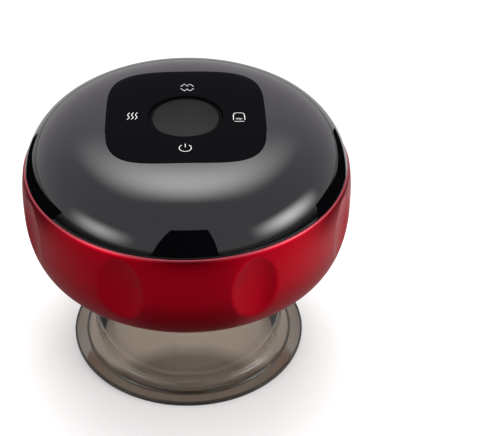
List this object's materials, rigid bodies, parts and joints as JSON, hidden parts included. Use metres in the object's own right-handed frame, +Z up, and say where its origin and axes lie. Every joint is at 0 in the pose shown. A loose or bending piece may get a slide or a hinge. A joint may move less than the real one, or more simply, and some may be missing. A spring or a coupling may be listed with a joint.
{
  "type": "electric cupping massager",
  "caption": "Hand-held electric cupping massager: round two-part head with a touch panel, inner suction pump and heating disc over a turn-off smoked cup.",
  "frame": {"origin": "centre of the cup's rim, on the surface that it stands on", "axes": "+Z up the head's axis, -Y towards the front with the power symbol, +Y towards the charging socket, +X to the right as seen from the front"},
  "size_m": [0.096, 0.096, 0.08],
  "materials": {
    "red_paint": "satin red metallic paint over moulded plastic",
    "gunmetal_gloss": "high gloss gunmetal coating",
    "panel_black": "gloss black acrylic",
    "lens_smoked": "smoked acrylic",
    "cup_smoked": "smoked clear polycarbonate, polished",
    "black_plastic": "moulded",
    "silicone": "matt silicone",
    "hub_black": "gloss black",
    "chrome": "bright plated",
    "disc_white": "smooth white",
    "film_amber": "polyimide film",
    "window_red": "clear red",
    "board_green": "solder mask",
    "led_pale": "clear pink resin",
    "battery_sleeve": "blue shrink sleeve",
    "steel": "plated steel",
    "brass": "turned brass",
    "pale_plastic": "moulded",
    "black_rubber": "matt",
    "grey_plastic": "moulded",
    "spring_gilt": "plated wire",
    "lead_red": "wire insulation",
    "lead_black": "wire insulation"
  },
  "bodies": {
    "head": {"lower_housing": "red_paint", "top_cover": "gunmetal_gloss", "touch_panel": "panel_black", "display_lens": "lens_smoked", "cup_socket": "black_plastic", "lamp_hub": "hub_black", "suction_plate": "chrome", "heating_disc": "disc_white", "heater_film": "film_amber", "thermistor": "black_plastic", "red_window_left": "window_red", "red_window_right": "window_red", "led_board": "board_green", "red_led_1": "led_pale", "red_led_2": "led_pale", "red_led_3": "led_pale", "red_led_4": "led_pale", "mid_frame": "black_plastic", "battery": "battery_sleeve", "pump_motor": "steel", "pump_base": "black_plastic", "pump_diaphragm": "black_rubber", "pump_cap": "pale_plastic", "air_manifold": "pale_plastic", "suction_tube": "silicone", "pump_tube": "silicone", "sensor_tube": "silicone", "valve_tube": "silicone", "valve_body": "steel", "valve_spring": "steel", "main_board": "board_green", "display_module": "grey_plastic", "pressure_sensor": "grey_plastic", "touch_spring_1": "spring_gilt", "touch_spring_2": "spring_gilt", "touch_spring_3": "spring_gilt", "touch_spring_4": "spring_gilt", "usb_port": "steel", "usb_board": "board_green", "frame_screw_1": "steel", "frame_screw_2": "steel", "frame_screw_3": "steel", "frame_screw_4": "steel", "board_screw_1": "steel", "board_screw_2": "steel", "board_screw_3": "steel", "board_screw_4": "steel", "battery_lead_red": "lead_red", "battery_lead_black": "lead_black", "motor_lead_red": "lead_red", "motor_lead_black": "lead_black"},
    "seal_ring": {"cup_seal": "silicone"},
    "cup": {"cup": "cup_smoked"},
    "pump_rotor": {"pump_shaft": "steel", "pump_crank": "brass", "pump_crank_pin": "steel"},
    "wobble_plate": {"pump_wobble_plate": "pale_plastic"},
    "valve_plunger": {"valve_plunger": "steel"}
  },
  "joints": [
    {"name": "cup_drop", "type": "slide", "parent": "head", "child": "seal_ring", "axis": [0, 0, -1], "range_m": [0, 0.006]},
    {"name": "cup_turn", "type": "hinge", "parent": "seal_ring", "child": "cup", "pos_m": [0, 0, 0.044], "axis": [0, 0, -1], "range_deg": [0, 50]},
    {"name": "pump_spin", "type": "hinge", "parent": "head", "child": "pump_rotor", "pos_m": [-0.01267, 0.014, 0.0614], "axis": [1, 0, 0], "continuous": true},
    {"name": "plate_rock", "type": "hinge", "parent": "pump_rotor", "child": "wobble_plate", "pos_m": [-0.00497, 0.014, 0.0614], "axis": [0.9962, 0, -0.0872], "continuous": true},
    {"name": "valve_slide", "type": "slide", "parent": "head", "child": "valve_plunger", "axis": [-1, 0, 0], "range_m": [0, 0.0015], "stiffness_N_per_m": 100, "springref_m": -0.002, "deforming": ["valve_spring"]}
  ],
  "couplings": [
    {"joint": "cup_drop", "follows": "cup_turn", "m_per_rad": 0.0068755},
    {"joint": "plate_rock", "follows": "pump_spin", "ratio": -1}
  ]
}
